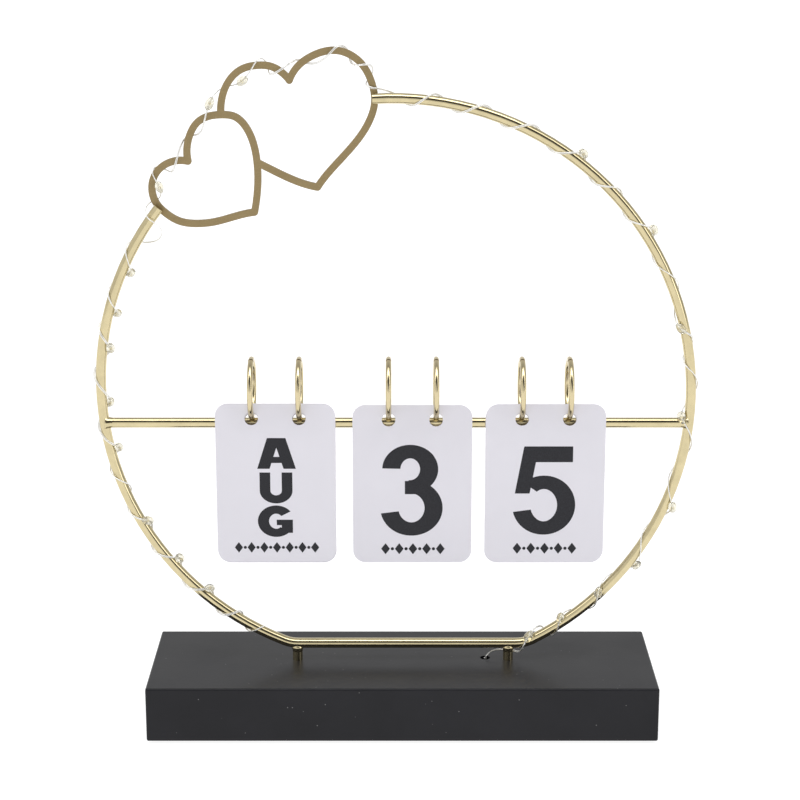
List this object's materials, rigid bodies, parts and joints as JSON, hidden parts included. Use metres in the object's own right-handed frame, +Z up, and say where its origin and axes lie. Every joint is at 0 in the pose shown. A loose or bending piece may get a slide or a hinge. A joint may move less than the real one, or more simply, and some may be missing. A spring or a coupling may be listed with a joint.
{
  "type": "flip desk calendar",
  "caption": "Desk calendar with a metal hoop on a wooden base, a crossbar with rings, three packs of turning cards, two hearts and a winding string of lights.",
  "frame": {"origin": "on the desk, under the middle of the wooden base", "axes": "+X to the reader's right, +Y to the back, +Z up"},
  "size_m": [0.235, 0.062, 0.2678],
  "materials": {
    "painted_wood": "black paint, satin, slightly rounded edges",
    "felt": "black felt",
    "gold_rod": "pale gold plated steel rod, satin",
    "gold_plate": "matt gold lacquered sheet",
    "gold_ring": "pale gold plated wire, polished",
    "zinc": "zinc plated fastener",
    "card_white": "white card with black print",
    "case_plastic": "black moulded plastic",
    "cell_steel": "bright steel cell can",
    "contact_metal": "spring brass strip",
    "knob_plastic": "light grey slider",
    "light_wire": "thin silver enamelled wire pair",
    "bead_resin": "clear resin drop over a small lamp"
  },
  "bodies": {
    "frame": {"base_block": "painted_wood", "felt_sheet": "felt", "hoop": "gold_rod", "crossbar": "gold_rod", "heart_plate": "gold_plate", "post_left": "gold_rod", "post_right": "gold_rod", "post_washers": "zinc", "post_nuts": "zinc", "ring_1": "gold_ring", "ring_2": "gold_ring", "ring_3": "gold_ring", "ring_4": "gold_ring", "ring_5": "gold_ring", "ring_6": "gold_ring", "battery_case": "case_plastic", "case_screws": "zinc", "coin_cell_1": "cell_steel", "coin_cell_2": "cell_steel", "positive_contact": "contact_metal", "negative_contact": "contact_metal", "switch_body": "case_plastic", "inner_lead": "light_wire", "light_lead": "light_wire", "light_winding_right": "light_wire", "light_winding_left": "light_wire", "light_winding_hearts": "light_wire", "light_beads": "bead_resin"},
    "battery_lid": {"battery_lid": "case_plastic", "lid_screw": "zinc", "lid_bridge_contact": "contact_metal"},
    "switch_knob": {"switch_knob": "knob_plastic"},
    "card_month_jul": {"card_month_jul": "card_white"},
    "card_month_jun": {"card_month_jun": "card_white"},
    "card_month_may": {"card_month_may": "card_white"},
    "card_month_apr": {"card_month_apr": "card_white"},
    "card_month_mar": {"card_month_mar": "card_white"},
    "card_month_feb": {"card_month_feb": "card_white"},
    "card_month_jan": {"card_month_jan": "card_white"},
    "card_month_dec": {"card_month_dec": "card_white"},
    "card_month_nov": {"card_month_nov": "card_white"},
    "card_month_oct": {"card_month_oct": "card_white"},
    "card_month_sep": {"card_month_sep": "card_white"},
    "card_month_aug": {"card_month_aug": "card_white"},
    "card_tens_2": {"card_tens_2": "card_white"},
    "card_tens_1": {"card_tens_1": "card_white"},
    "card_tens_0": {"card_tens_0": "card_white"},
    "card_tens_3": {"card_tens_3": "card_white"},
    "card_ones_4": {"card_ones_4": "card_white"},
    "card_ones_3": {"card_ones_3": "card_white"},
    "card_ones_2": {"card_ones_2": "card_white"},
    "card_ones_1": {"card_ones_1": "card_white"},
    "card_ones_0": {"card_ones_0": "card_white"},
    "card_ones_9": {"card_ones_9": "card_white"},
    "card_ones_8": {"card_ones_8": "card_white"},
    "card_ones_7": {"card_ones_7": "card_white"},
    "card_ones_6": {"card_ones_6": "card_white"},
    "card_ones_5": {"card_ones_5": "card_white"}
  },
  "joints": [
    {"name": "lid_removal", "type": "slide", "parent": "frame", "child": "battery_lid", "axis": [0, 0, -1], "range_m": [0, 0.02]},
    {"name": "switch_slide", "type": "slide", "parent": "frame", "child": "switch_knob", "axis": [1, 0, 0], "range_m": [0, 0.0036]},
    {"name": "flip_month_jul", "type": "hinge", "parent": "frame", "child": "card_month_jul", "pos_m": [0, 0, 0.13585], "axis": [-1, 0, 0], "range_deg": [0, 136]},
    {"name": "flip_month_jun", "type": "hinge", "parent": "card_month_jul", "child": "card_month_jun", "pos_m": [0, 0, 0.13585], "axis": [-1, 0, 0], "range_deg": [0, 136]},
    {"name": "flip_month_may", "type": "hinge", "parent": "card_month_jun", "child": "card_month_may", "pos_m": [0, 0, 0.13585], "axis": [-1, 0, 0], "range_deg": [0, 136]},
    {"name": "flip_month_apr", "type": "hinge", "parent": "card_month_may", "child": "card_month_apr", "pos_m": [0, 0, 0.13585], "axis": [-1, 0, 0], "range_deg": [0, 136]},
    {"name": "flip_month_mar", "type": "hinge", "parent": "card_month_apr", "child": "card_month_mar", "pos_m": [0, 0, 0.13585], "axis": [-1, 0, 0], "range_deg": [0, 136]},
    {"name": "flip_month_feb", "type": "hinge", "parent": "card_month_mar", "child": "card_month_feb", "pos_m": [0, 0, 0.13585], "axis": [-1, 0, 0], "range_deg": [0, 136]},
    {"name": "flip_month_jan", "type": "hinge", "parent": "card_month_feb", "child": "card_month_jan", "pos_m": [0, 0, 0.13585], "axis": [-1, 0, 0], "range_deg": [0, 136]},
    {"name": "flip_month_dec", "type": "hinge", "parent": "card_month_jan", "child": "card_month_dec", "pos_m": [0, 0, 0.13585], "axis": [-1, 0, 0], "range_deg": [0, 136]},
    {"name": "flip_month_nov", "type": "hinge", "parent": "card_month_dec", "child": "card_month_nov", "pos_m": [0, 0, 0.13585], "axis": [-1, 0, 0], "range_deg": [0, 136]},
    {"name": "flip_month_oct", "type": "hinge", "parent": "card_month_nov", "child": "card_month_oct", "pos_m": [0, 0, 0.13585], "axis": [-1, 0, 0], "range_deg": [0, 136]},
    {"name": "flip_month_sep", "type": "hinge", "parent": "card_month_oct", "child": "card_month_sep", "pos_m": [0, 0, 0.13585], "axis": [-1, 0, 0], "range_deg": [0, 136]},
    {"name": "flip_month_aug", "type": "hinge", "parent": "card_month_sep", "child": "card_month_aug", "pos_m": [0, 0, 0.13585], "axis": [-1, 0, 0], "range_deg": [0, 136]},
    {"name": "flip_tens_2", "type": "hinge", "parent": "frame", "child": "card_tens_2", "pos_m": [0, 0, 0.13585], "axis": [-1, 0, 0], "range_deg": [0, 280]},
    {"name": "flip_tens_1", "type": "hinge", "parent": "card_tens_2", "child": "card_tens_1", "pos_m": [0, 0, 0.13585], "axis": [-1, 0, 0], "range_deg": [0, 280]},
    {"name": "flip_tens_0", "type": "hinge", "parent": "card_tens_1", "child": "card_tens_0", "pos_m": [0, 0, 0.13585], "axis": [-1, 0, 0], "range_deg": [0, 280]},
    {"name": "flip_tens_3", "type": "hinge", "parent": "card_tens_0", "child": "card_tens_3", "pos_m": [0, 0, 0.13585], "axis": [-1, 0, 0], "range_deg": [0, 280]},
    {"name": "flip_ones_4", "type": "hinge", "parent": "frame", "child": "card_ones_4", "pos_m": [0, 0, 0.13585], "axis": [-1, 0, 0], "range_deg": [0, 292]},
    {"name": "flip_ones_3", "type": "hinge", "parent": "card_ones_4", "child": "card_ones_3", "pos_m": [0, 0, 0.13585], "axis": [-1, 0, 0], "range_deg": [0, 292]},
    {"name": "flip_ones_2", "type": "hinge", "parent": "card_ones_3", "child": "card_ones_2", "pos_m": [0, 0, 0.13585], "axis": [-1, 0, 0], "range_deg": [0, 292]},
    {"name": "flip_ones_1", "type": "hinge", "parent": "card_ones_2", "child": "card_ones_1", "pos_m": [0, 0, 0.13585], "axis": [-1, 0, 0], "range_deg": [0, 292]},
    {"name": "flip_ones_0", "type": "hinge", "parent": "card_ones_1", "child": "card_ones_0", "pos_m": [0, 0, 0.13585], "axis": [-1, 0, 0], "range_deg": [0, 292]},
    {"name": "flip_ones_9", "type": "hinge", "parent": "card_ones_0", "child": "card_ones_9", "pos_m": [0, 0, 0.13585], "axis": [-1, 0, 0], "range_deg": [0, 292]},
    {"name": "flip_ones_8", "type": "hinge", "parent": "card_ones_9", "child": "card_ones_8", "pos_m": [0, 0, 0.13585], "axis": [-1, 0, 0], "range_deg": [0, 292]},
    {"name": "flip_ones_7", "type": "hinge", "parent": "card_ones_8", "child": "card_ones_7", "pos_m": [0, 0, 0.13585], "axis": [-1, 0, 0], "range_deg": [0, 292]},
    {"name": "flip_ones_6", "type": "hinge", "parent": "card_ones_7", "child": "card_ones_6", "pos_m": [0, 0, 0.13585], "axis": [-1, 0, 0], "range_deg": [0, 292]},
    {"name": "flip_ones_5", "type": "hinge", "parent": "card_ones_6", "child": "card_ones_5", "pos_m": [0, 0, 0.13585], "axis": [-1, 0, 0], "range_deg": [0, 292]}
  ]
}
